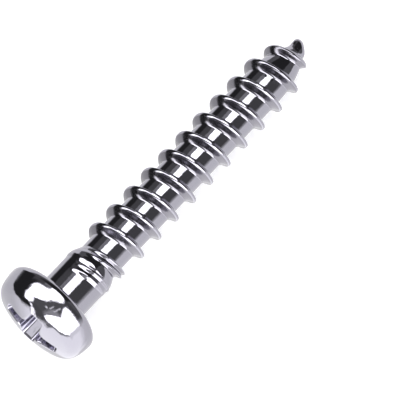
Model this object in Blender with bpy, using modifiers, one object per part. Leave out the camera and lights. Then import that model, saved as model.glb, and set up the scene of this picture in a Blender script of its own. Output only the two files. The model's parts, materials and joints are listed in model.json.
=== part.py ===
"""Pan head tapping screw with a cross recess and a gimlet point, 4 x 25 mm.

The screw is one piece: the head is upset and the thread is rolled from one length of steel wire.
It is modelled upright around local +Z, head up, with the bearing face of the head at local z = 0.
It is then laid on its side, as it comes to rest on a table: the rim of the head and one crest of the
thread touch the table, the head lies towards -X and the point towards +X.
"""

import math

import bmesh
import bpy
from mathutils import Vector

MM = 0.001

# Length and head
LENGTH = 24.7 * MM                  # bearing face to point
HEAD_DIAMETER = 7.0 * MM
HEAD_HEIGHT = 2.65 * MM
CROWN_RADIUS = 8.0 * MM             # sphere on top of the head
CORNER_RADIUS = 0.95 * MM           # between the crown and the side of the head
SIDE_DRAFT = math.radians(5.0)
RIM_RADIUS = 0.5 * MM               # rounded lower edge of the head
NECK_FILLET = 0.3 * MM              # between the bearing face and the shank

# Shank and core
SHANK_DIAMETER = 3.44 * MM
CORE_DIAMETER = 2.84 * MM
CONE_START = 3.2 * MM               # where the shank begins to narrow to the core
CONE_LENGTH = 0.85 * MM
RING_PLACE = 3.0 * MM               # ridge that the rolling raises all round the end of the shank
RING_REACH = 0.35 * MM
RING_HEIGHT = 0.05 * MM

# Thread
THREAD_DIAMETER = 3.88 * MM
PITCH = 1.73 * MM
CREST_WIDTH = 0.1 * MM
THREAD_BASE = 0.94 * MM             # width of the thread where it meets the core
FLANK_HOLLOW = 1.35                 # 1 is a straight flank, more is a hollow one
THREAD_START = 2.22 * MM            # first mark of the thread, from the bearing face
START_ANGLE = math.radians(32.0)

# Run-out: a low first mark, then a young thread with two lips that join into one crest
LIP_SPACING = 0.5 * MM
LIP_SHARE = 0.6                     # depth of the groove between the lips, as a share of the ridge
LIP_TURNS = 1.1                     # turns for which the two lips stay apart
JOIN_TURNS = 0.65                   # turns in which they join
CREST_LEAD = 0.27 * MM              # the young thread lies this much nearer to the head
LOW_SHARE = 0.45                    # height of the first mark, as a share of the full thread
RISE_TURNS = 0.15                   # turns in which the first mark comes up
FALL_TURNS = 0.35                   # turns in which it sinks again
LOW_TURNS = 0.85                    # turns before the full thread begins to grow
GROW_TURNS = 0.7                    # turns in which it grows

# Point
POINT_LENGTH = 4.5 * MM
POINT_FULLNESS = 2.2                # power of the core's taper, more is a fuller point
CREST_FULLNESS = 3.1                # the same for the crest of the thread
NIB_LENGTH = 0.9 * MM               # plain rounded end of the point
NIB_SHARE = 0.36                    # its radius, as a share of the core's
POINT_OFFSET = 0.26 * MM            # the pinched tip lies a little off the axis
OFFSET_REACH = 0.75 * MM
POINT_OFFSET_ANGLE = math.radians(76.0)
TIP_CAP = 0.3 * MM                  # end without thread
THREAD_FADE = 0.8 * MM              # length in which the thread dies away before it

# Cross recess
RECESS_SPAN = 4.2 * MM              # across two opposite wings at the crown
RECESS_DEPTH = 2.25 * MM
WING_DEPTH = 1.9 * MM
WING_WIDTH = 1.1 * MM
WING_DRAFT = math.radians(4.0)
WING_TAPER = math.radians(26.5)     # slope of the outer end of each wing
RECESS_CORE_DIAMETER = 1.9 * MM     # round middle of the recess at the crown
RECESS_TIP_DIAMETER = 0.5 * MM      # flat at its bottom
RECESS_ANGLE = math.radians(-9.0)

# Facets
COLUMNS = 36                        # around the screw
CROWN_STEPS = 5
CORNER_STEPS = 4
RIM_STEPS = 3
NECK_STEPS = 2
TIP_STEPS = 3
RECESS_SIDES = 16                   # around the middle of the recess
FLANK_SHARE = 0.4                   # place of the row in the middle of each flank
SHARP_ANGLE = math.radians(30.0)
WELD = 0.002 * MM

PLATE_COLOUR = (0.60, 0.59, 0.64, 1.0)
PLATE_ROUGHNESS = 0.14

HEAD_RADIUS = HEAD_DIAMETER / 2
SHANK_RADIUS = SHANK_DIAMETER / 2
CORE_RADIUS = CORE_DIAMETER / 2
THREAD_RADIUS = THREAD_DIAMETER / 2
STRIP_START = THREAD_START - THREAD_BASE / 2
STRIP_END = LENGTH - TIP_CAP


def clear_scene():
    for item in list(bpy.data.objects):
        bpy.data.objects.remove(item, do_unlink=True)


def new_collection(name):
    collection = bpy.data.collections.new(name)
    bpy.context.scene.collection.children.link(collection)
    return collection


def new_object(name, mesh, collection):
    item = bpy.data.objects.new(name, mesh)
    collection.objects.link(item)
    return item


def plated_steel():
    material = bpy.data.materials.new("bright_plated_steel")
    material.use_nodes = True
    shader = material.node_tree.nodes["Principled BSDF"]
    shader.inputs["Base Color"].default_value = PLATE_COLOUR
    shader.inputs["Metallic"].default_value = 1.0
    shader.inputs["Roughness"].default_value = PLATE_ROUGHNESS
    material.diffuse_color = PLATE_COLOUR
    return material


def ease(value):
    """Smooth step from 0 to 1."""
    share = min(max(value, 0.0), 1.0)
    return share * share * (3 - 2 * share)


def arc(centre_x, centre_z, radius, start, end, steps):
    """Points on an arc, with angles from +X towards +Z."""
    angles = [start + (end - start) * step / steps for step in range(steps + 1)]
    return [(centre_x + radius * math.cos(a), centre_z + radius * math.sin(a)) for a in angles]


def point_scale(depth, fullness):
    """Share of the full radius left in the taper of the point."""
    along = max((depth - (LENGTH - POINT_LENGTH)) / POINT_LENGTH, 0.0)
    return 1 - min(along, 1.0) ** fullness


def nib_scale(depth):
    """Radius of the rounded end, as a share of the core's."""
    inside = 1 - min((LENGTH - depth) / NIB_LENGTH, 1.0)
    return NIB_SHARE * math.sqrt(max(1 - inside * inside, 0.0))


def body_radius(depth):
    """Radius of the shank, ring, cone, core and point, without the thread."""
    narrowing = ease((depth - CONE_START) / CONE_LENGTH)
    ring = RING_HEIGHT * ease(1 - abs(depth - RING_PLACE) / RING_REACH)
    plain = SHANK_RADIUS + (CORE_RADIUS - SHANK_RADIUS) * narrowing + ring
    return plain * max(point_scale(depth, POINT_FULLNESS), nib_scale(depth))


def head_profile():
    """Outer side of the head, from the middle of the crown down to the fillet at the shank."""
    top_radius = HEAD_RADIUS - (HEAD_HEIGHT / 2) * math.tan(SIDE_DRAFT)
    crown_z = HEAD_HEIGHT - CROWN_RADIUS
    corner_x = top_radius - CORNER_RADIUS
    corner_z = crown_z + math.sqrt((CROWN_RADIUS - CORNER_RADIUS) ** 2 - corner_x ** 2)
    meeting = math.atan2(corner_z - crown_z, corner_x)
    crown = arc(0, crown_z, CROWN_RADIUS, math.pi / 2, meeting, CROWN_STEPS)
    corner = arc(corner_x, corner_z, CORNER_RADIUS, meeting, SIDE_DRAFT, CORNER_STEPS)
    rim_x = HEAD_RADIUS - RIM_RADIUS
    rim = arc(rim_x, RIM_RADIUS, RIM_RADIUS, SIDE_DRAFT, -math.pi / 2, RIM_STEPS)
    neck_x = SHANK_RADIUS + NECK_FILLET
    neck = arc(neck_x, -NECK_FILLET, NECK_FILLET, math.pi / 2, math.pi, NECK_STEPS)
    return crown + corner[1:] + rim + neck


def tip_profile():
    """Rounded end of the point, from the last ring of the thread down to the axis."""
    points = []
    for step in range(TIP_STEPS + 1):
        share = math.sin(step / TIP_STEPS * math.pi / 2)
        depth = STRIP_END + TIP_CAP * share
        points.append((body_radius(depth), -depth))
    return points


def chains_mesh(name, chains):
    """A mesh of open edge chains in the XZ plane, for the Screw modifier."""
    shape = bmesh.new()
    for chain in chains:
        corners = [shape.verts.new((x, 0, z)) for x, z in chain]
        for upper, lower in zip(corners, corners[1:]):
            shape.edges.new((upper, lower))
    mesh = bpy.data.meshes.new(name)
    shape.to_mesh(mesh)
    shape.free()
    return mesh


def spun_mesh(name, chains, turns=1, rise=0.0):
    """The chains turned about Z by a Screw modifier, as a plain mesh."""
    spun = new_object(name, chains_mesh(name, chains), bpy.context.scene.collection)
    screw = spun.modifiers.new("Screw", "SCREW")
    screw.axis = "Z"
    screw.angle = 2 * math.pi
    screw.screw_offset = rise
    screw.iterations = turns
    screw.steps = COLUMNS
    screw.render_steps = COLUMNS
    screw.use_merge_vertices = rise == 0
    screw.merge_threshold = WELD
    graph = bpy.context.evaluated_depsgraph_get()
    mesh = bpy.data.meshes.new_from_object(spun.evaluated_get(graph))
    bpy.data.objects.remove(spun, do_unlink=True)
    return mesh


def thread_rows():
    """Distances from one crest to the next at which the thread has a row of points."""
    crest = CREST_WIDTH / 2
    base = THREAD_BASE / 2
    flank = crest + (base - crest) * FLANK_SHARE
    first_half = [0, crest, flank, base]
    return first_half + [PITCH - row for row in reversed(first_half)]


def thread_place(angle, depth):
    """Radius and depth of a point of the even helix, moved onto the real thread."""
    fraction = ((START_ANGLE - angle) / (2 * math.pi)) % 1.0
    whole = round((depth - THREAD_START) / PITCH - fraction)
    turn = whole + fraction
    crest_depth = THREAD_START + PITCH * turn
    offset = depth - crest_depth

    first_mark = LOW_SHARE * ease(turn / RISE_TURNS) * (1 - ease((turn - RISE_TURNS) / FALL_TURNS))
    height_share = max(first_mark, ease((turn - LOW_TURNS) / GROW_TURNS))
    young = 1 - ease((turn - LIP_TURNS) / JOIN_TURNS)
    groove_share = LIP_SHARE * young
    lip = CREST_WIDTH / 2 + (LIP_SPACING - CREST_WIDTH) / 2 * young
    crest_depth -= CREST_LEAD * young * ease((turn - RISE_TURNS) / (LOW_TURNS - RISE_TURNS))

    crest = CREST_WIDTH / 2
    base = THREAD_BASE / 2
    distance = abs(offset)
    if distance < crest / 2:
        height_share *= 1 - groove_share
    elif distance < base + WELD:
        down = min(max((distance - crest) / (base - crest), 0.0), 1.0)
        height_share *= (1 - down) ** FLANK_HOLLOW
        offset = math.copysign(lip + (base - lip) * down, offset)
    else:
        height_share = 0.0

    placed_depth = min(max(crest_depth + offset, STRIP_START), STRIP_END)
    body = body_radius(placed_depth)
    crest_radius = max(THREAD_RADIUS * point_scale(placed_depth, CREST_FULLNESS), body)
    height_share *= 1 - ease((placed_depth - (STRIP_END - THREAD_FADE)) / THREAD_FADE)
    return body + (crest_radius - body) * height_share, placed_depth


def threaded_mesh():
    """Thread, core and point: an even helical strip with each of its points put in place."""
    turns = math.ceil((STRIP_END - STRIP_START) / PITCH) + 3
    crest_above = THREAD_START + PITCH * (START_ANGLE / (2 * math.pi) - 1)
    start = -(crest_above + PITCH * (turns - 1))
    chain = [(THREAD_RADIUS, start - row) for row in thread_rows()]
    mesh = spun_mesh("thread", [chain], turns, PITCH)
    for vertex in mesh.vertices:
        angle = math.atan2(vertex.co.y, vertex.co.x)
        radius, depth = thread_place(angle, -vertex.co.z)
        vertex.co = (radius * math.cos(angle), radius * math.sin(angle), -depth)
    return mesh


def pinch_point(shape):
    """Moves the end of the point a little off the axis."""
    direction = Vector((math.cos(POINT_OFFSET_ANGLE), math.sin(POINT_OFFSET_ANGLE), 0))
    for vertex in shape.verts:
        share = ease((-vertex.co.z - (LENGTH - OFFSET_REACH)) / OFFSET_REACH)
        vertex.co += direction * POINT_OFFSET * share


def screw_mesh():
    """Head, shank, thread and point, welded into one closed surface."""
    shank_end = [(SHANK_RADIUS, -STRIP_START)]
    turned = spun_mesh("turned", [head_profile() + shank_end, tip_profile()])
    thread = threaded_mesh()
    shape = bmesh.new()
    shape.from_mesh(turned)
    shape.from_mesh(thread)
    bpy.data.meshes.remove(turned)
    bpy.data.meshes.remove(thread)
    bmesh.ops.remove_doubles(shape, verts=shape.verts, dist=WELD)
    bmesh.ops.dissolve_degenerate(shape, dist=WELD, edges=shape.edges)
    pinch_point(shape)
    bmesh.ops.triangulate(shape, faces=shape.faces)
    bmesh.ops.recalc_face_normals(shape, faces=shape.faces)
    mesh = bpy.data.meshes.new("screw")
    shape.to_mesh(mesh)
    shape.free()
    return mesh


def wing_pair_mesh(name):
    """Two opposite wings of the recess: a bar that narrows towards its bottom."""
    shape = bmesh.new()
    bmesh.ops.create_cube(shape, size=2)
    above = HEAD_HEIGHT
    for vertex in shape.verts:
        rise = above if vertex.co.z > 0 else -WING_DEPTH
        half_length = RECESS_SPAN / 2 + rise * math.tan(WING_TAPER)
        half_width = WING_WIDTH / 2 + rise * math.tan(WING_DRAFT)
        sides = (half_length * vertex.co.x, half_width * vertex.co.y)
        vertex.co = (sides[0], sides[1], HEAD_HEIGHT + rise)
    mesh = bpy.data.meshes.new(name)
    shape.to_mesh(mesh)
    shape.free()
    return mesh


def recess_core_mesh(name):
    """Round middle of the recess: a cone that narrows to a small flat."""
    shape = bmesh.new()
    slope = (RECESS_CORE_DIAMETER - RECESS_TIP_DIAMETER) / 2 / RECESS_DEPTH
    above = HEAD_HEIGHT
    bmesh.ops.create_cone(
        shape,
        cap_ends=True,
        segments=RECESS_SIDES,
        radius1=RECESS_TIP_DIAMETER / 2,
        radius2=RECESS_CORE_DIAMETER / 2 + above * slope,
        depth=RECESS_DEPTH + above,
    )
    middle = HEAD_HEIGHT + (above - RECESS_DEPTH) / 2
    bmesh.ops.translate(shape, vec=(0, 0, middle), verts=shape.verts)
    mesh = bpy.data.meshes.new(name)
    shape.to_mesh(mesh)
    shape.free()
    return mesh


def cut_recess(screw, cutters):
    """Cuts the cross recess with two bars and a cone, each a guide parented to the screw."""
    tools = [
        ("recess_wings_1", wing_pair_mesh("recess_wings_1"), RECESS_ANGLE),
        ("recess_wings_2", wing_pair_mesh("recess_wings_2"), RECESS_ANGLE + math.pi / 2),
        ("recess_core", recess_core_mesh("recess_core"), RECESS_ANGLE + math.pi / RECESS_SIDES),
    ]
    for name, mesh, angle in tools:
        tool = new_object(name, mesh, cutters)
        tool.parent = screw
        tool.rotation_euler = (0, 0, angle)
        tool.hide_render = True
        tool.display_type = "WIRE"
        cut = screw.modifiers.new(name, "BOOLEAN")
        cut.operation = "DIFFERENCE"
        cut.solver = "EXACT"
        cut.object = tool


def resting_tilt(mesh):
    """Angle by which the axis dips towards the point when the screw lies on its side."""
    lowest = [(-vertex.co.z, -vertex.co.x) for vertex in mesh.vertices]
    pivot_depth, pivot_radius = max(lowest, key=lambda place: place[1])
    slopes = [
        (pivot_radius - radius) / (depth - pivot_depth)
        for depth, radius in lowest
        if depth > THREAD_START
    ]
    return math.atan(min(slopes))


def lay_down(screw):
    """Puts the screw on its side, on z = 0, with the middle of its box over the origin."""
    tilt = resting_tilt(screw.data)
    screw.rotation_euler = (0, tilt - math.pi / 2, 0)
    turned = screw.rotation_euler.to_matrix()
    places = [turned @ vertex.co for vertex in screw.data.vertices]
    middle_x = (min(p.x for p in places) + max(p.x for p in places)) / 2
    middle_y = (min(p.y for p in places) + max(p.y for p in places)) / 2
    floor = min(p.z for p in places)
    screw.location = (-middle_x, -middle_y, -floor)


def main():
    clear_scene()
    parts = new_collection("pan_head_tapping_screw")
    cutters = new_collection("cutters")
    screw = new_object("screw", screw_mesh(), parts)
    screw.data.materials.append(plated_steel())
    screw.data.shade_smooth()
    screw.data.set_sharp_from_angle(angle=SHARP_ANGLE)
    lay_down(screw)
    cut_recess(screw, cutters)
    bpy.context.view_layer.update()


main()
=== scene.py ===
# Pan head tapping screw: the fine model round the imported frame, its finish, the studio and the camera.
import json
import math

import bmesh
import bpy
from mathutils import Matrix, Vector


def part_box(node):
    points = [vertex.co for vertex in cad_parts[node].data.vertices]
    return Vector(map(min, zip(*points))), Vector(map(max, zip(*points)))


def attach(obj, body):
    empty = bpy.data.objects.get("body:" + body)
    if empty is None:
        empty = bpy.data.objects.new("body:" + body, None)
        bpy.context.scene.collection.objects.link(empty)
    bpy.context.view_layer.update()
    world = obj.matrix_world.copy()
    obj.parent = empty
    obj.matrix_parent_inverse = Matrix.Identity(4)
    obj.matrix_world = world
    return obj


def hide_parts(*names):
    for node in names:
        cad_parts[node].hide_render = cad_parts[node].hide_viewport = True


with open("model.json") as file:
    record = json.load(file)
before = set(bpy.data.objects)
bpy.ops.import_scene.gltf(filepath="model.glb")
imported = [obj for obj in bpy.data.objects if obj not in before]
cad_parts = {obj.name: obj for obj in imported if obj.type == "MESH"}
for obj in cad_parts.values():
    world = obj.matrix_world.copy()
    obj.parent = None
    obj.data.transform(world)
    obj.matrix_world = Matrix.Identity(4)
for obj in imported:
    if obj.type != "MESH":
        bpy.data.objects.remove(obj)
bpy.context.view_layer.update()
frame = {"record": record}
millimetre = 0.001
whiteLight = (1.0, 1.0, 1.0, 1.0)


def srgb(code):
    # "#rrggbb" to the linear colour that the shaders take
    channels = [int(code[i:i + 2], 16) / 255 for i in (1, 3, 5)]
    linear = [c / 12.92 if c <= 0.04045 else ((c + 0.055) / 1.055) ** 2.4 for c in channels]
    return (*linear, 1.0)


def addNode(tree, kind, links=(), **settings):
    # one node: its settings, then a value, node or socket for each input, by place or by name
    node = tree.nodes.new(kind)
    for name, value in settings.items():
        setattr(node, name, value)
    pairs = links.items() if isinstance(links, dict) else enumerate(links)
    for key, value in pairs:
        if value is None:
            continue
        if isinstance(value, bpy.types.Node):
            value = next(socket for socket in value.outputs if socket.enabled)
        if isinstance(value, bpy.types.NodeSocket):
            tree.links.new(value, node.inputs[key])
        else:
            node.inputs[key].default_value = value
    return node


def ease(value):
    share = min(max(value, 0.0), 1.0)
    return share * share * (3 - 2 * share)


# Where the screw lies

screwLow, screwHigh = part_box("screw")
bearingFace = frame["record"]["mounts"][0]
axis = Vector(bearingFace["axis"]).normalized()          # from the head to the point
across = Vector((0, 1, 0))
upward = across.cross(axis) * -1                         # square to the axis, away from the table
mountRadius = 2.5 * millimetre
mountAngle = math.radians(5)                             # the mount's point, round the bearing face
mountOut = upward * math.cos(mountAngle) + across * math.sin(mountAngle)
bearingCentre = Vector(bearingFace["pos_m"]) - mountOut * mountRadius

# local X is up, local Y is across the table, local Z runs from the point to the head
placement = Matrix.Translation(bearingCentre) @ Matrix((upward, across, -axis)).transposed().to_4x4()


# The finish

def platedSteel():
    # bright zinc plate on rolled steel wire: cool grey mirror with a faint violet cast, slightly uneven,
    # so that the edges of reflections waver, and duller on the flanks that face the head and in the thread's
    # roots, where the colour is also darkened as painted shade
    finish = {
        "colour": "#b1afba",
        "roughness": 0.06,
        "waveMillimetres": 0.8,
        "waveDetail": 2.0,
        "waveHeight": 0.011,
        "grainMillimetres": 0.14,
        "grainDetail": 4.0,
        "grainHeight": 0.0026,
        "grainRange": (0.3, 0.7),             # most of the noise lies between these
        "polishRange": (0.7, 1.5),            # shares of the roughness, from hollows to rises
        # painted shade: a darker colour for the flanks facing the head and the thread's roots, standing in
        # for the shade they lie in
        "paintedFlankShade": "#85838b",
        "flankRoughness": 0.17,
        "flankSlope": (0.08, 0.45),           # the duller finish and the painted shade start at the first, full at the second
        "threadStart": (1.9, 2.6),            # the same, in millimetres from the bearing face
        "crestStart": (1.92, 1.86),           # the same, in millimetres from the axis
    }
    material = bpy.data.materials.new("brightPlatedSteel")
    material.use_nodes = True
    tree = material.node_tree
    tree.nodes.clear()
    place = addNode(tree, "ShaderNodeTexCoord")

    # long waves, with the fine grain on top of them
    bump = None
    for name in ("wave", "grain"):
        noise = addNode(
            tree, "ShaderNodeTexNoise",
            {
                "Vector": place.outputs["Object"],
                "Scale": 1 / (finish[name + "Millimetres"] * millimetre),
                "Detail": finish[name + "Detail"],
            },
        )
        bump = addNode(
            tree, "ShaderNodeBump",
            {
                "Height": noise,
                "Distance": finish[name + "Height"] * millimetre,
                "Strength": 1.0,
                "Normal": bump,
            },
        )

    # where the surface leans towards the head, past the head and under the crest: there the finish is
    # duller, and the colour darker as painted shade
    lean = addNode(
        tree, "ShaderNodeVectorMath", [place.outputs["Normal"], tuple(-axis)], operation="DOT_PRODUCT",
    ).outputs["Value"]
    fromHead = addNode(
        tree, "ShaderNodeVectorMath", [place.outputs["Object"], tuple(bearingCentre)], operation="SUBTRACT",
    )
    along = addNode(
        tree, "ShaderNodeVectorMath", [fromHead, tuple(axis)], operation="DOT_PRODUCT",
    ).outputs["Value"]
    outward = addNode(tree, "ShaderNodeVectorMath", [fromHead, tuple(axis)], operation="CROSS_PRODUCT")
    radius = addNode(tree, "ShaderNodeVectorMath", [outward], operation="LENGTH").outputs["Value"]
    flank = 1.0
    for value, limits, unit in (
        (lean, finish["flankSlope"], 1.0),
        (along, finish["threadStart"], millimetre),
        (radius, finish["crestStart"], millimetre),
    ):
        share = addNode(
            tree, "ShaderNodeMapRange",
            {"Value": value, "From Min": limits[0] * unit, "From Max": limits[1] * unit},
        )
        flank = addNode(tree, "ShaderNodeMath", [flank, share], operation="MULTIPLY")

    polish = addNode(
        tree, "ShaderNodeMapRange",
        {
            "Value": noise,
            "From Min": finish["grainRange"][0],
            "From Max": finish["grainRange"][1],
            "To Min": finish["roughness"] * finish["polishRange"][0],
            "To Max": finish["roughness"] * finish["polishRange"][1],
        },
    )
    roughness = addNode(tree, "ShaderNodeMix", {"Factor": flank, "A": polish, "B": finish["flankRoughness"]})
    # painted shade: the mask darkens the colour on the flanks facing the head and in the thread's roots
    colour = addNode(tree, "ShaderNodeMixRGB", [flank, srgb(finish["colour"]), srgb(finish["paintedFlankShade"])])
    shader = addNode(
        tree, "ShaderNodeBsdfPrincipled",
        {"Base Color": colour, "Metallic": 1.0, "Roughness": roughness, "Normal": bump},
    )
    addNode(tree, "ShaderNodeOutputMaterial", {"Surface": shader})
    return material


steel = platedSteel()
print("finish made")


# The screw

columns = 192                       # points round the screw, and along each turn of the thread

headSizes = {
    "radius": (screwHigh.y - screwLow.y) / 2,
    "height": 2.65 * millimetre,
    "crownRadius": 8.0 * millimetre,
    "cornerRadius": 0.95 * millimetre,
    "sideRadius": 3.8 * millimetre,       # the side is a slack arc, upright at the rim
    "sideTurn": math.radians(15),
    "neckFillet": 0.3 * millimetre,
    "lean": math.radians(1.5),            # a cold-headed screw is seldom quite straight
    "leanShift": 0.1 * millimetre,
    "leanAngle": math.radians(76.6),
    "leanReach": 0.5 * millimetre,
    "steps": {"crown": 10, "corner": 16, "side": 8, "rim": 12, "face": 4, "neck": 6, "shank": 2},
}

recessSizes = {
    "angle": math.radians(-9),
    "halfSpan": 2.1 * millimetre,
    "halfWidth": 0.57 * millimetre,
    "wingTaper": math.tan(math.radians(6)),               # the wings narrow a little towards their ends
    "sideDraft": math.tan(math.radians(4)),
    "endTaper": math.tan(math.radians(26.5)),
    "lipRadius": 0.08 * millimetre,
    "endRound": 0.16 * millimetre,
    "innerRound": 0.5 * millimetre,
    "wallDepth": 1.9 * millimetre,
    "depth": 2.25 * millimetre,
    "steps": {"floor": 5, "wall": 12, "lip": 4},
    # the points of half a wing, chosen so that the whole cross has one for each column
    "points": {"inner": 3, "side": 14, "round": 3, "end": 8},
}

threadSizes = {
    "Pitch": 1.73 * millimetre,
    "Thread Radius": 1.94 * millimetre,
    "Shank Radius": 1.72 * millimetre,
    "Core Radius": 1.42 * millimetre,
    "Crest Width": 0.22 * millimetre,
    "Crest Round": 0.25,
    "Thread Base": 0.94 * millimetre,
    "Far Flank Share": 0.66,              # the flank towards the point is the steeper one
    "Flank Hollow": 1.4,
    "Thread Start": 2.22 * millimetre,
    "Strip Start": 0.5 * millimetre,
    "Strip End": 24.4 * millimetre,
    "Thread Fade": 0.8 * millimetre,
    "Length": 24.7 * millimetre,
    "Point Length": 4.5 * millimetre,
    "Point Fullness": 2.6,
    "Crest Fullness": 3.1,
    "Nib Length": 0.9 * millimetre,
    "Nib Share": 0.44,
    "Point Offset": 0.26 * millimetre,
    "Offset Reach": 0.75 * millimetre,
    "Point Offset Angle": math.radians(76),
    "Cone Start": 3.2 * millimetre,
    "Cone Length": 0.85 * millimetre,
    "Start Angle": math.radians(32),
    "Ring Place": 3.0 * millimetre,
    "Ring Reach": 0.35 * millimetre,
    "Ring Height": 0.05 * millimetre,
    "Lip Spacing": 0.5 * millimetre,
    "Lip Share": 0.6,
    "Lip Turns": 1.1,
    "Join Turns": 0.65,
    "Crest Lead": 0.27 * millimetre,
    "Low Share": 0.45,
    "Rise Turns": 0.15,
    "Fall Turns": 0.35,
    "Low Turns": 0.85,
    "Grow Turns": 0.7,
}
threadRows = 28
rowSpread = 1.5                           # above 1, the rows stand closer together at the crest
stripWeld = 0.001 * millimetre
firstTurn = -1.5
turnCount = 15
tipSteps = 10


def threadTree(material):
    # a helical strip, one pitch wide: X of the flat grid counts turns, Y crosses from root to root
    tree = bpy.data.node_groups.new("rolledThread", "GeometryNodeTree")
    tree.interface.new_socket(name="Geometry", in_out="OUTPUT", socket_type="NodeSocketGeometry")
    for name, value in threadSizes.items():
        socket = tree.interface.new_socket(name=name, in_out="INPUT", socket_type="NodeSocketFloat")
        socket.default_value = value
    size = addNode(tree, "NodeGroupInput").outputs
    smooth = {"interpolation_type": "SMOOTHSTEP"}

    grid = addNode(
        tree, "GeometryNodeMeshGrid",
        {
            "Size X": float(turnCount),
            "Size Y": 2.0,
            "Vertices X": turnCount * columns + 1,
            "Vertices Y": threadRows + 1,
        },
    )
    position = addNode(tree, "GeometryNodeInputPosition")
    flat = addNode(tree, "ShaderNodeSeparateXYZ", [position]).outputs
    turn = addNode(tree, "ShaderNodeMath", [flat["X"], turnCount / 2 + firstTurn], operation="ADD")
    side = addNode(tree, "ShaderNodeMath", [flat["Y"]], operation="SIGN")
    row = addNode(tree, "ShaderNodeMath", [flat["Y"]], operation="ABSOLUTE")
    spread = addNode(tree, "ShaderNodeMath", [row, rowSpread], operation="POWER")
    halfPitch = addNode(tree, "ShaderNodeMath", [size["Pitch"], 0.5], operation="MULTIPLY")
    distance = addNode(tree, "ShaderNodeMath", [spread, halfPitch], operation="MULTIPLY")

    # how high the ridge stands at each turn: a low first mark, then the full thread
    growthEnd = addNode(tree, "ShaderNodeMath", [size["Low Turns"], size["Grow Turns"]], operation="ADD")
    growth = addNode(
        tree, "ShaderNodeMapRange",
        {"Value": turn, "From Min": size["Low Turns"], "From Max": growthEnd}, **smooth,
    )
    joinEnd = addNode(tree, "ShaderNodeMath", [size["Lip Turns"], size["Join Turns"]], operation="ADD")
    young = addNode(
        tree, "ShaderNodeMapRange",
        {"Value": turn, "From Min": size["Lip Turns"], "From Max": joinEnd, "To Min": 1.0, "To Max": 0.0},
        **smooth,
    )
    rise = addNode(
        tree, "ShaderNodeMapRange",
        {"Value": turn, "From Min": 0.0, "From Max": size["Rise Turns"]}, **smooth,
    )
    fallEnd = addNode(tree, "ShaderNodeMath", [size["Rise Turns"], size["Fall Turns"]], operation="ADD")
    fall = addNode(
        tree, "ShaderNodeMapRange",
        {"Value": turn, "From Min": size["Rise Turns"], "From Max": fallEnd, "To Min": 1.0, "To Max": 0.0},
        **smooth,
    )
    firstMark = addNode(tree, "ShaderNodeMath", [rise, fall], operation="MULTIPLY")
    lowRidge = addNode(tree, "ShaderNodeMath", [size["Low Share"], firstMark], operation="MULTIPLY")
    ridge = addNode(tree, "ShaderNodeMath", [lowRidge, growth], operation="MAXIMUM")

    # the profile of the ridge: hollow flanks, a narrow crest, and two lips while it is young
    crest = addNode(tree, "ShaderNodeMath", [size["Crest Width"], 0.5], operation="MULTIPLY")
    nearBase = addNode(tree, "ShaderNodeMath", [size["Thread Base"], 0.5], operation="MULTIPLY")
    farBase = addNode(tree, "ShaderNodeMath", [nearBase, size["Far Flank Share"]], operation="MULTIPLY")
    onFarSide = addNode(tree, "ShaderNodeMath", [flat["Y"], 0.0], operation="GREATER_THAN")
    base = addNode(tree, "ShaderNodeMix", {"Factor": onFarSide, "A": nearBase, "B": farBase})
    spare = addNode(tree, "ShaderNodeMath", [size["Lip Spacing"], size["Crest Width"]], operation="SUBTRACT")
    halfSpare = addNode(tree, "ShaderNodeMath", [spare, 0.5], operation="MULTIPLY")
    lipShift = addNode(tree, "ShaderNodeMath", [halfSpare, young], operation="MULTIPLY")
    lip = addNode(tree, "ShaderNodeMath", [crest, lipShift], operation="ADD")
    down = addNode(
        tree, "ShaderNodeMapRange", {"Value": distance, "From Min": crest, "From Max": base}, clamp=False,
    )
    onRidge = addNode(tree, "ShaderNodeMath", [down, 1.0], operation="MINIMUM")
    rounded = addNode(tree, "ShaderNodeMath", [onRidge, 0.0, size["Crest Round"]], operation="SMOOTH_MAX")
    straight = addNode(tree, "ShaderNodeMath", [1.0, rounded], operation="SUBTRACT")
    flank = addNode(tree, "ShaderNodeMath", [straight, size["Flank Hollow"]], operation="POWER")
    inner = addNode(
        tree, "ShaderNodeMapRange",
        {"Value": distance, "From Min": 0.0, "From Max": crest, "To Min": 0.0, "To Max": lip},
    )
    outer = addNode(
        tree, "ShaderNodeMapRange",
        {"Value": distance, "From Min": crest, "From Max": base, "To Min": lip, "To Max": base},
    )
    onCrest = addNode(tree, "ShaderNodeMath", [distance, crest], operation="LESS_THAN")
    onFlank = addNode(tree, "ShaderNodeMath", [distance, base], operation="LESS_THAN")
    outside = addNode(tree, "ShaderNodeMix", {"Factor": onFlank, "A": distance, "B": outer})
    placed = addNode(tree, "ShaderNodeMix", {"Factor": onCrest, "A": outside, "B": inner})
    grooveDepth = addNode(tree, "ShaderNodeMath", [size["Lip Share"], young], operation="MULTIPLY")
    groove = addNode(
        tree, "ShaderNodeMapRange",
        {"Value": distance, "From Min": 0.0, "From Max": crest, "To Min": grooveDepth, "To Max": 0.0},
        **smooth,
    )
    besideGroove = addNode(tree, "ShaderNodeMath", [1.0, groove], operation="SUBTRACT")
    profile = addNode(tree, "ShaderNodeMath", [flank, besideGroove], operation="MULTIPLY")

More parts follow.
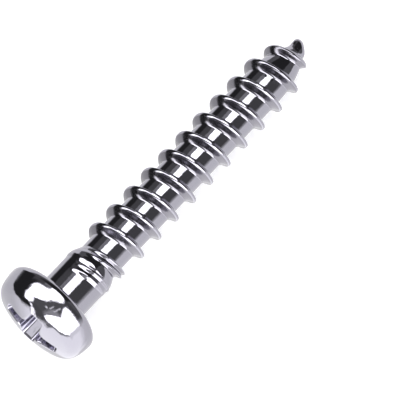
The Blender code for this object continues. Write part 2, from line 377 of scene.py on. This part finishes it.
    # the young thread lies a little nearer to the head than the even helix
    leadIn = addNode(
        tree, "ShaderNodeMapRange",
        {"Value": turn, "From Min": size["Rise Turns"], "From Max": size["Low Turns"]}, **smooth,
    )
    youngLead = addNode(tree, "ShaderNodeMath", [young, leadIn], operation="MULTIPLY")
    leadShare = addNode(
        tree, "ShaderNodeMapRange",
        {"Value": distance, "From Min": base, "From Max": halfPitch, "To Min": 1.0, "To Max": 0.0},
    )
    leadHere = addNode(tree, "ShaderNodeMath", [youngLead, leadShare], operation="MULTIPLY")
    lead = addNode(tree, "ShaderNodeMath", [size["Crest Lead"], leadHere], operation="MULTIPLY")
    travel = addNode(tree, "ShaderNodeMath", [turn, size["Pitch"]], operation="MULTIPLY")
    crestDepth = addNode(tree, "ShaderNodeMath", [size["Thread Start"], travel], operation="ADD")
    ledDepth = addNode(tree, "ShaderNodeMath", [crestDepth, lead], operation="SUBTRACT")
    fromCrest = addNode(tree, "ShaderNodeMath", [side, placed], operation="MULTIPLY")
    wantedDepth = addNode(tree, "ShaderNodeMath", [ledDepth, fromCrest], operation="ADD")
    belowStart = addNode(tree, "ShaderNodeMath", [wantedDepth, size["Strip Start"]], operation="MAXIMUM")
    depth = addNode(tree, "ShaderNodeMath", [belowStart, size["Strip End"]], operation="MINIMUM")

    # shank, cone and core, with the low ring at the end of the shank
    coneEnd = addNode(tree, "ShaderNodeMath", [size["Cone Start"], size["Cone Length"]], operation="ADD")
    cylinder = addNode(
        tree, "ShaderNodeMapRange",
        {
            "Value": depth,
            "From Min": size["Cone Start"],
            "From Max": coneEnd,
            "To Min": size["Shank Radius"],
            "To Max": size["Core Radius"],
        },
        **smooth,
    )
    pastRing = addNode(tree, "ShaderNodeMath", [depth, size["Ring Place"]], operation="SUBTRACT")
    fromRing = addNode(tree, "ShaderNodeMath", [pastRing], operation="ABSOLUTE")
    ring = addNode(
        tree, "ShaderNodeMapRange",
        {
            "Value": fromRing,
            "From Min": 0.0,
            "From Max": size["Ring Reach"],
            "To Min": size["Ring Height"],
            "To Max": 0.0,
        },
        **smooth,
    )
    plain = addNode(tree, "ShaderNodeMath", [cylinder, ring], operation="ADD")

    # the taper of the point, down to its rounded nib
    pointStart = addNode(
        tree, "ShaderNodeMath", [size["Length"], size["Point Length"]], operation="SUBTRACT",
    )
    pastStart = addNode(tree, "ShaderNodeMath", [depth, pointStart], operation="SUBTRACT")
    pointShare = addNode(tree, "ShaderNodeMath", [pastStart, size["Point Length"]], operation="DIVIDE")
    along = addNode(tree, "ShaderNodeMath", [pointShare, 0.0], operation="MAXIMUM")
    coreTaper = addNode(tree, "ShaderNodeMath", [along, size["Point Fullness"]], operation="POWER")
    cone = addNode(tree, "ShaderNodeMath", [1.0, coreTaper], operation="SUBTRACT")
    toEnd = addNode(tree, "ShaderNodeMath", [size["Length"], depth], operation="SUBTRACT")
    fromEnd = addNode(tree, "ShaderNodeMath", [toEnd, size["Nib Length"]], operation="DIVIDE")
    beforeNib = addNode(tree, "ShaderNodeMath", [fromEnd, 1.0], operation="MINIMUM")
    inNib = addNode(tree, "ShaderNodeMath", [1.0, beforeNib], operation="SUBTRACT")
    squared = addNode(tree, "ShaderNodeMath", [inNib, inNib], operation="MULTIPLY")
    rest = addNode(tree, "ShaderNodeMath", [1.0, squared], operation="SUBTRACT")
    bulge = addNode(tree, "ShaderNodeMath", [rest], operation="SQRT")
    nib = addNode(tree, "ShaderNodeMath", [bulge, size["Nib Share"]], operation="MULTIPLY")
    pointLeft = addNode(tree, "ShaderNodeMath", [cone, nib], operation="MAXIMUM")
    body = addNode(tree, "ShaderNodeMath", [plain, pointLeft], operation="MULTIPLY")

    # the ridge stands on the body, and fades before the nib
    crestTaper = addNode(tree, "ShaderNodeMath", [along, size["Crest Fullness"]], operation="POWER")
    crestShare = addNode(tree, "ShaderNodeMath", [1.0, crestTaper], operation="SUBTRACT")
    freeCrest = addNode(tree, "ShaderNodeMath", [size["Thread Radius"], crestShare], operation="MULTIPLY")
    crestRadius = addNode(tree, "ShaderNodeMath", [freeCrest, body], operation="MAXIMUM")
    fadeStart = addNode(
        tree, "ShaderNodeMath", [size["Strip End"], size["Thread Fade"]], operation="SUBTRACT",
    )
    fade = addNode(
        tree, "ShaderNodeMapRange",
        {
            "Value": depth,
            "From Min": fadeStart,
            "From Max": size["Strip End"],
            "To Min": 1.0,
            "To Max": 0.0,
        },
        **smooth,
    )
    standing = addNode(tree, "ShaderNodeMath", [ridge, profile], operation="MULTIPLY")
    share = addNode(tree, "ShaderNodeMath", [standing, fade], operation="MULTIPLY")
    fullHeight = addNode(tree, "ShaderNodeMath", [crestRadius, body], operation="SUBTRACT")
    heightHere = addNode(tree, "ShaderNodeMath", [fullHeight, share], operation="MULTIPLY")
    radius = addNode(tree, "ShaderNodeMath", [body, heightHere], operation="ADD")

    # the flat grid is wound up, and welded where its edges meet
    turned = addNode(tree, "ShaderNodeMath", [turn, 2 * math.pi], operation="MULTIPLY")
    angle = addNode(tree, "ShaderNodeMath", [size["Start Angle"], turned], operation="SUBTRACT")
    cosine = addNode(tree, "ShaderNodeMath", [angle], operation="COSINE")
    sine = addNode(tree, "ShaderNodeMath", [angle], operation="SINE")
    x = addNode(tree, "ShaderNodeMath", [radius, cosine], operation="MULTIPLY")
    y = addNode(tree, "ShaderNodeMath", [radius, sine], operation="MULTIPLY")
    z = addNode(tree, "ShaderNodeMath", [depth, -1.0], operation="MULTIPLY")
    spot = addNode(tree, "ShaderNodeCombineXYZ", [x, y, z])
    strip = addNode(tree, "GeometryNodeSetPosition", {"Geometry": grid.outputs["Mesh"], "Position": spot})
    welded = addNode(tree, "GeometryNodeMergeByDistance", {"Geometry": strip, "Distance": stripWeld})
    real = addNode(tree, "GeometryNodeRealizeInstances", [welded])
    coated = addNode(tree, "GeometryNodeSetMaterial", {"Geometry": real, "Material": material})
    addNode(tree, "NodeGroupOutput", [coated])
    return tree


def threadMesh(material):
    holder = bpy.data.objects.new("threadHolder", bpy.data.meshes.new("threadHolder"))
    bpy.context.scene.collection.objects.link(holder)
    modifier = holder.modifiers.new("rolledThread", "NODES")
    modifier.node_group = threadTree(material)
    for item in modifier.node_group.interface.items_tree:
        if item.in_out == "INPUT":
            modifier[item.identifier] = threadSizes[item.name]
    graph = bpy.context.evaluated_depsgraph_get()
    mesh = bpy.data.meshes.new_from_object(holder.evaluated_get(graph))
    holder.modifiers.clear()
    bpy.data.objects.remove(holder, do_unlink=True)
    return mesh


def crownZ(x, y):
    head = headSizes
    return head["height"] - head["crownRadius"] + math.sqrt(head["crownRadius"] ** 2 - x * x - y * y)


def crossOutline(halfSpan, halfWidth, endRound, innerRound):
    # one loop of points round a cross, the same count and order at every size
    points = recessSizes["points"]
    innerX = halfWidth + innerRound
    endX = halfSpan - endRound
    endWidth = halfWidth - (endX - innerX) * recessSizes["wingTaper"]
    half = []                                             # one side of a wing, from the middle outwards
    for step in range(points["inner"]):
        turn = math.radians(45 * (1 - step / points["inner"]))
        half.append((innerX - innerRound * math.sin(turn), innerX - innerRound * math.cos(turn)))
    for step in range(points["side"]):
        share = step / points["side"]
        half.append((innerX + (endX - innerX) * share, halfWidth + (endWidth - halfWidth) * share))
    for step in range(points["round"] + 1):
        turn = math.radians(90 * step / points["round"])
        half.append((endX + endRound * math.sin(turn), endWidth - endRound * (1 - math.cos(turn))))
    halfEnd = endWidth - endRound
    end = [(halfSpan, -halfEnd + 2 * halfEnd * step / points["end"]) for step in range(1, points["end"])]
    wing = [(x, -y) for x, y in half] + end + half[:0:-1]
    loop = []
    for quarter in range(4):
        turn = recessSizes["angle"] + quarter * math.pi / 2
        cosine = math.cos(turn)
        sine = math.sin(turn)
        loop += [(x * cosine - y * sine, x * sine + y * cosine) for x, y in wing]
    return loop


def recessRings():
    # from the middle of the bottom, up the walls and over the lip
    recess = recessSizes
    steps = recess["steps"]
    rounds = (recess["endRound"], recess["innerRound"])
    rings = []
    top = headSizes["height"]

    def sizesAt(depth):
        halfSpan = recess["halfSpan"] - depth * recess["endTaper"]
        halfWidth = recess["halfWidth"] - depth * recess["sideDraft"]
        return halfSpan, halfWidth

    floorLoop = crossOutline(*sizesAt(recess["wallDepth"]), *rounds)
    for step in range(1, steps["floor"] + 1):
        share = step / steps["floor"]
        z = top - recess["depth"] + (recess["depth"] - recess["wallDepth"]) * share
        rings.append([(x * share, y * share, z) for x, y in floorLoop])
    lipLoop = crossOutline(recess["halfSpan"], recess["halfWidth"], *rounds)
    for step in range(1, steps["wall"] + 1):
        ring = []
        for index, (x, y) in enumerate(lipLoop):
            lipZ = crownZ(x, y) - recess["lipRadius"]
            z = top - recess["wallDepth"] + (lipZ - top + recess["wallDepth"]) * step / steps["wall"]
            loop = crossOutline(*sizesAt(lipZ - z), *rounds)
            ring.append((*loop[index], z))
        rings.append(ring)
    for step in range(1, steps["lip"] + 1):
        turn = math.pi / 2 * step / steps["lip"]
        out = recess["lipRadius"] * (1 - math.cos(turn))
        drop = recess["lipRadius"] * (1 - math.sin(turn))
        loop = crossOutline(
            recess["halfSpan"] + out,
            recess["halfWidth"] + out,
            recess["endRound"] + out,
            recess["innerRound"] - out,
        )
        rings.append([(x, y, crownZ(x, y) - drop) for x, y in loop])
    return rings


def arc(centreX, centreZ, radius, start, end, steps):
    turns = [start + (end - start) * step / steps for step in range(steps + 1)]
    return [(centreX + radius * math.cos(turn), centreZ + radius * math.sin(turn)) for turn in turns]


def headSideProfile():
    # corner, side, rim, bearing face and neck, from the edge of the crown down to the shank
    head = headSizes
    steps = head["steps"]
    shankRadius = threadSizes["Shank Radius"]
    sideX = head["radius"] - head["sideRadius"]
    inset = head["sideRadius"] - head["cornerRadius"]
    cornerX = sideX + inset * math.cos(head["sideTurn"])
    crownCentre = head["height"] - head["crownRadius"]
    cornerZ = crownCentre + math.sqrt((head["crownRadius"] - head["cornerRadius"]) ** 2 - cornerX ** 2)
    meeting = math.atan2(cornerZ - crownCentre, cornerX)
    corner = arc(cornerX, cornerZ, head["cornerRadius"], meeting, head["sideTurn"], steps["corner"])
    rimRadius = cornerZ - inset * math.sin(head["sideTurn"])
    side = arc(sideX, rimRadius, head["sideRadius"], head["sideTurn"], 0, steps["side"])[1:]
    rim = arc(head["radius"] - rimRadius, rimRadius, rimRadius, 0, -math.pi / 2, steps["rim"])[1:]
    neckX = shankRadius + head["neckFillet"]
    neck = arc(neckX, -head["neckFillet"], head["neckFillet"], math.pi / 2, math.pi, steps["neck"])

    def between(start, end, count):
        return [
            (start[0] + (end[0] - start[0]) * i / count, start[1] + (end[1] - start[1]) * i / count)
            for i in range(1, count)
        ]

    face = between(rim[-1], neck[0], steps["face"])
    return corner, side + rim + face + neck


def roundRing(radius, z, angles):
    return [(radius * math.cos(turn), radius * math.sin(turn), z) for turn in angles]


def headRings():
    steps = headSizes["steps"]
    rings = recessRings()
    lip = rings[-1]
    corner, rest = headSideProfile()
    edgeRadius = corner[0][0]
    firstAngle = recessSizes["angle"] - math.pi / 4
    angles = [firstAngle + 2 * math.pi * i / columns for i in range(columns)]
    for step in range(1, steps["crown"]):
        share = step / steps["crown"]
        ring = []
        for (x, y, z), turn in zip(lip, angles):
            newX = x + (edgeRadius * math.cos(turn) - x) * share
            newY = y + (edgeRadius * math.sin(turn) - y) * share
            ring.append((newX, newY, crownZ(newX, newY)))
        rings.append(ring)
    for radius, z in corner + rest:
        rings.append(roundRing(radius, z, angles))
    # the shank turns its columns a little, to meet those of the thread
    column = 2 * math.pi / columns
    lag = (threadSizes["Start Angle"] - firstAngle) % column
    start = rest[-1][1]
    for step in range(1, steps["shank"] + 1):
        share = step / steps["shank"]
        z = start + (-threadSizes["Strip Start"] - start) * share
        rings.append(roundRing(threadSizes["Shank Radius"], z, [turn + lag * share for turn in angles]))
    return rings


def tipRings():
    # the rounded end of the nib, past the last turn of the strip
    sizes = threadSizes
    rings = []
    angles = [sizes["Start Angle"] + 2 * math.pi * i / columns for i in range(columns)]
    for step in range(tipSteps):
        share = math.sin(step / tipSteps * math.pi / 2)
        depth = sizes["Strip End"] + (sizes["Length"] - sizes["Strip End"]) * share
        inNib = 1 - (sizes["Length"] - depth) / sizes["Nib Length"]
        radius = sizes["Core Radius"] * sizes["Nib Share"] * math.sqrt(1 - inNib * inNib)
        rings.append(roundRing(radius, -depth, angles))
    return rings


def loftRings(shape, rings, pole, poleAtStart):
    loops = [[shape.verts.new(point) for point in ring] for ring in rings]
    for lower, upper in zip(loops, loops[1:]):
        for i in range(columns):
            j = (i + 1) % columns
            shape.faces.new((lower[i], lower[j], upper[j], upper[i]))
    middle = shape.verts.new(pole)
    last = loops[0] if poleAtStart else loops[-1]
    for i in range(columns):
        shape.faces.new((last[i], last[(i + 1) % columns], middle))


def pinchPoint(shape):
    # the pinched tip of a gimlet point lies a little off the axis
    sizes = threadSizes
    reach = sizes["Offset Reach"]
    turn = sizes["Point Offset Angle"]
    direction = Vector((math.cos(turn), math.sin(turn), 0))
    for vertex in shape.verts:
        share = ease((-vertex.co.z - (sizes["Length"] - reach)) / reach)
        vertex.co += direction * sizes["Point Offset"] * share


def leanHead(shape):
    # the head turns about the middle of its bearing face, and the neck follows it
    head = headSizes
    direction = Vector((math.cos(head["leanAngle"]), math.sin(head["leanAngle"]), 0))
    hinge = Vector((0, 0, 1)).cross(direction)
    for vertex in shape.verts:
        share = ease(1 + vertex.co.z / head["leanReach"])
        if share > 0:
            vertex.co.rotate(Matrix.Rotation(head["lean"] * share, 3, hinge))
            vertex.co += direction * head["leanShift"] * share


def screwPiece(material):
    shape = bmesh.new()
    loftRings(shape, headRings(), (0, 0, headSizes["height"] - recessSizes["depth"]), True)
    loftRings(shape, tipRings(), (0, 0, -threadSizes["Length"]), False)
    thread = threadMesh(material)
    shape.from_mesh(thread)
    bpy.data.meshes.remove(thread)
    weld = 0.0015 * millimetre
    bmesh.ops.remove_doubles(shape, verts=shape.verts, dist=weld)
    bmesh.ops.dissolve_degenerate(shape, edges=shape.edges, dist=weld)
    loose = [edge for edge in shape.edges if not edge.link_faces]
    bmesh.ops.delete(shape, geom=loose, context="EDGES")
    pinchPoint(shape)
    leanHead(shape)
    bmesh.ops.recalc_face_normals(shape, faces=shape.faces)
    bmesh.ops.transform(shape, matrix=placement, verts=shape.verts)
    openEdges = sum(1 for edge in shape.edges if len(edge.link_faces) != 2)
    triangles = sum(len(face.verts) - 2 for face in shape.faces)
    volume = round(shape.calc_volume() / millimetre ** 3, 2)
    print("screw:", triangles, "triangles,", openEdges, "open edges, volume", volume, "mm3")
    mesh = bpy.data.meshes.new("screwBody")
    shape.to_mesh(mesh)
    shape.free()
    mesh.materials.clear()
    mesh.materials.append(material)
    mesh.shade_smooth()
    piece = bpy.data.objects.new("screwBody", mesh)
    bpy.context.scene.collection.objects.link(piece)
    return piece


screwBody = screwPiece(steel)
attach(screwBody, "root")
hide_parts("screw")
print("screw made")


# The studio

studio = {
    "floorSize": 4.0,
    "floorGap": 0.02 * millimetre,        # from the floor to the lowest crest
    "floorGlow": 0.3,
    "floorColour": "#f4f4f6",
    "roomGlow": 0.15,
    "tableGlow": 1.6,
    "horizon": (88.0, 92.0),              # degrees from the zenith; the room ends and the table begins
    "roomReach": 1000.0,                  # degrees, farther off than any edge of a panel
}

# Cards and softboxes of the room, as seen from the screw: the zenith is at 0, 0 and the horizon
# 90 degrees from it, the first number towards +X and the second towards -Y.
# A later one covers an earlier one. Each is convex, and soft is the width of its blurred edge in degrees.
roomPanels = {
    "farTable": {
        "glow": 0.9, "soft": 60, "belowOnly": True,
        "corners": [(-300, -300), (300, -300), (300, -60), (-300, -60)],
    },
    "rightTable": {
        "glow": 0.95, "soft": 30, "belowOnly": True,
        "corners": [(30, -300), (300, -300), (300, 300), (30, 300)],
    },
    "darkWall": {
        "glow": 0.13, "soft": 5, "corners": [(-60, -38), (-95, 8), (-121, -2), (-120, -40), (-90, -50)],
    },
    "blackCard": {
        "glow": 0.03, "soft": 5,
        "corners": [
            (-76, -36), (-112, -40), (-110, -60), (-88, -74), (-60, -87), (-20, -99), (40, -104), (30, -45),
        ],
    },
    "whiteGap": {"glow": 3.0, "soft": 2, "corners": [(-84, -38), (-84, -36), (-122, -35), (-122, -40)]},
    "blackPatch": {"glow": 0.03, "soft": 2, "corners": [(20.5, -62), (78, -20), (78, 27), (26, 27)]},
    "greyFar": {"glow": 0.11, "soft": 8, "corners": [(19, -64), (34, -62), (30, -30), (20, -30)]},
    "greyStep": {"glow": 0.35, "soft": 3, "corners": [(20.5, -32), (27, -34), (27, -18), (20.5, -18)]},
    "paleFar": {"glow": 0.9, "soft": 24, "corners": [(12, -150), (90, -140), (70, -104), (12, -104)]},
    "darkStrip": {"glow": 0.1, "soft": 5, "corners": [(11, 20), (27, 20), (36, 80), (13, 80)]},
    "greyNear": {"glow": 1.0, "soft": 26, "corners": [(12, 79), (50, 79), (60, 140), (12, 140)]},
    "nearWall": {"glow": 1.3, "soft": 4, "corners": [(-50, 76), (13, 80), (13, 95), (-50, 95)]},
    "bandLight": {"glow": 0.5, "soft": 8, "corners": [(-92, -8), (-8, 18), (-8, 40), (-50, 24), (-90, 4)]},
    "lensLight": {"glow": 1.3, "soft": 3, "corners": [(-37, -2), (-25, -1), (-24, 4), (-36, 6)]},
    "streakUpper": {"glow": 1.3, "soft": 2, "corners": [(-24, 8), (-4, 13), (-4, 15), (-24, 11)]},
    "streakLower": {"glow": 1.3, "soft": 2, "corners": [(-18, 20), (2, 27), (1, 30), (-18, 23)]},
    "boxUpper": {
        "glow": 3.6, "soft": 4,
        "corners": [
            (-82, -41), (-76, -49), (-59, -53), (-26, -56), (8, -53), (14, -45), (15, -33), (-64, -33),
        ],
    },
    "boxMiddle": {"glow": 3.6, "soft": 4, "corners": [(-34, -38), (14, -42), (17, -20), (17, 2), (0, 0)]},
    "boxRight": {
        "glow": 3.6, "soft": 4,
        "corners": [(0, -2), (16, -16), (24, -15), (31, -6), (32, 4), (28, 14), (20, 21), (14, 25)],
    },
    "tableEdge": {
        "glow": 0.3, "soft": 2,
        "corners": [(-126, -15), (-100, -12), (-40, 20), (-30, 60), (-44, 84), (-77, 66), (-108, 32)],
    },
    "boxLeft": {
        "glow": 3.6, "soft": 3,
        "corners": [(-116, -12), (-100, -8), (-8, 42), (0, 84), (-46, 80), (-74, 62), (-100, 30)],
    },
    "boxNear": {"glow": 3.6, "soft": 4, "corners": [(-12, 43), (5, 33), (12.5, 34), (13.5, 84), (-12, 84)]},
}


def floorMaterial():
    # white paper: it glows for the camera and keeps the screw's shadow; a reflection looks past it
    # to the lower half of the room, which is the same white table with its cards
    material = bpy.data.materials.new("whitePaper")
    material.use_nodes = True
    tree = material.node_tree
    tree.nodes.clear()
    path = addNode(tree, "ShaderNodeLightPath")
    glow = addNode(tree, "ShaderNodeEmission", {"Color": whiteLight, "Strength": studio["floorGlow"]})
    paper = addNode(tree, "ShaderNodeBsdfDiffuse", {"Color": srgb(studio["floorColour"])})
    both = addNode(tree, "ShaderNodeAddShader", [glow, paper])
    forCamera = addNode(tree, "ShaderNodeMixShader", [path.outputs["Is Camera Ray"], paper, both])
    clear = addNode(tree, "ShaderNodeBsdfTransparent")
    shown = addNode(tree, "ShaderNodeMixShader", [path.outputs["Is Glossy Ray"], forCamera, clear])
    addNode(tree, "ShaderNodeOutputMaterial", {"Surface": shown})
    return material


def addFloor():
    shape = bmesh.new()
    bmesh.ops.create_grid(shape, x_segments=1, y_segments=1, size=studio["floorSize"] / 2)
    bmesh.ops.translate(shape, verts=shape.verts, vec=(0, 0, -studio["floorGap"]))
    mesh = bpy.data.meshes.new("tableTop")
    shape.to_mesh(mesh)
    shape.free()
    mesh.materials.append(floorMaterial())
    floor = bpy.data.objects.new("tableTop", mesh)
    bpy.context.scene.collection.objects.link(floor)


def panelMask(tree, spot, panel):
    # 1 inside the panel's convex outline and 0 outside, with a soft edge
    corners = [Vector(corner) for corner in panel["corners"]]
    middle = sum(corners, Vector((0, 0))) / len(corners)
    nearest = studio["roomReach"]
    for start, end in zip(corners, corners[1:] + corners[:1]):
        inward = Vector((start.y - end.y, end.x - start.x)).normalized()
        if inward.dot(middle - start) < 0:
            inward.negate()
        line = (inward.x, inward.y, -inward.dot(start))
        distance = addNode(tree, "ShaderNodeVectorMath", [spot, line], operation="DOT_PRODUCT")
        nearest = addNode(tree, "ShaderNodeMath", [nearest, distance.outputs["Value"]], operation="MINIMUM")
    half = panel["soft"] / 2
    return addNode(
        tree, "ShaderNodeMapRange", {"Value": nearest, "From Min": -half, "From Max": half},
        interpolation_type="SMOOTHSTEP",
    )


def addWorld():
    # white behind the screw for the camera, and the room for light and reflections
    world = bpy.data.worlds.new("studioRoom")
    bpy.context.scene.world = world
    world.use_nodes = True
    tree = world.node_tree
    tree.nodes.clear()
    direction = addNode(tree, "ShaderNodeTexCoord").outputs["Generated"]
    parts = addNode(tree, "ShaderNodeSeparateXYZ", [direction]).outputs
    fromZenith = addNode(tree, "ShaderNodeMath", [parts["Z"]], operation="ARCCOSINE")
    degrees = addNode(tree, "ShaderNodeMath", [fromZenith], operation="DEGREES")
    backwards = addNode(tree, "ShaderNodeMath", [parts["Y"], -1.0], operation="MULTIPLY")
    flat = addNode(tree, "ShaderNodeCombineXYZ", [parts["X"], backwards, 0.0])
    heading = addNode(tree, "ShaderNodeVectorMath", [flat], operation="NORMALIZE")
    place = addNode(tree, "ShaderNodeVectorMath", {0: heading, "Scale": degrees}, operation="SCALE")
    # the third number is 1, so that one dot product gives the distance from a line
    spot = addNode(tree, "ShaderNodeVectorMath", [place, (0, 0, 1)], operation="ADD").outputs["Vector"]
    below = addNode(
        tree, "ShaderNodeMapRange",
        {"Value": degrees, "From Min": studio["horizon"][0], "From Max": studio["horizon"][1]},
    )
    glow = addNode(
        tree, "ShaderNodeMix", {"Factor": below, "A": studio["roomGlow"], "B": studio["tableGlow"]},
    )
    for panel in roomPanels.values():
        mask = panelMask(tree, spot, panel)
        if panel.get("belowOnly"):
            mask = addNode(tree, "ShaderNodeMath", [mask, below], operation="MULTIPLY")
        glow = addNode(tree, "ShaderNodeMix", {"Factor": mask, "A": glow, "B": panel["glow"]})
    path = addNode(tree, "ShaderNodeLightPath")
    white = addNode(tree, "ShaderNodeBackground", {"Color": whiteLight, "Strength": 1.0})
    room = addNode(tree, "ShaderNodeBackground", {"Color": whiteLight, "Strength": glow})
    seen = addNode(
        tree, "ShaderNodeMath",
        [path.outputs["Is Camera Ray"], path.outputs["Is Transmission Ray"]], operation="MAXIMUM",
    )
    mix = addNode(tree, "ShaderNodeMixShader", [seen, room, white])
    addNode(tree, "ShaderNodeOutputWorld", {"Surface": mix})


addFloor()
addWorld()
print("studio made")


# The camera

view = {
    "azimuth": -49.33,                    # degrees; 0 looks along +Y
    "elevation": 70.74,
    "aimAlong": 11.853 * millimetre,      # from the bearing face towards the point
    "aimBeside": 2.078 * millimetre,      # from the axis towards the lower right of the picture
    "fieldWidth": 26.08 * millimetre,
    "distance": 0.5,
    "sensorWidth": 36,
    "clipStart": 0.01,
    "clipEnd": 20,
}


def addCamera():
    heading = math.radians(view["azimuth"])
    lift = math.radians(view["elevation"])
    level = math.cos(lift)
    forward = Vector((-math.sin(heading) * level, math.cos(heading) * level, -math.sin(lift)))
    beside = forward.cross(axis).normalized()
    if beside.z > 0:
        beside = -beside
    aim = bearingCentre + axis * view["aimAlong"] + beside * view["aimBeside"]
    data = bpy.data.cameras.new("camera")
    data.sensor_width = view["sensorWidth"]
    data.lens = view["sensorWidth"] * view["distance"] / view["fieldWidth"]
    data.clip_start = view["clipStart"]
    data.clip_end = view["clipEnd"]
    camera = bpy.data.objects.new("camera", data)
    camera.location = aim - forward * view["distance"]
    camera.rotation_euler = forward.to_track_quat("-Z", "Y").to_euler()
    bpy.context.scene.collection.objects.link(camera)
    bpy.context.scene.camera = camera


addCamera()
bpy.context.scene.view_settings.view_transform = "Standard"
print("camera set")
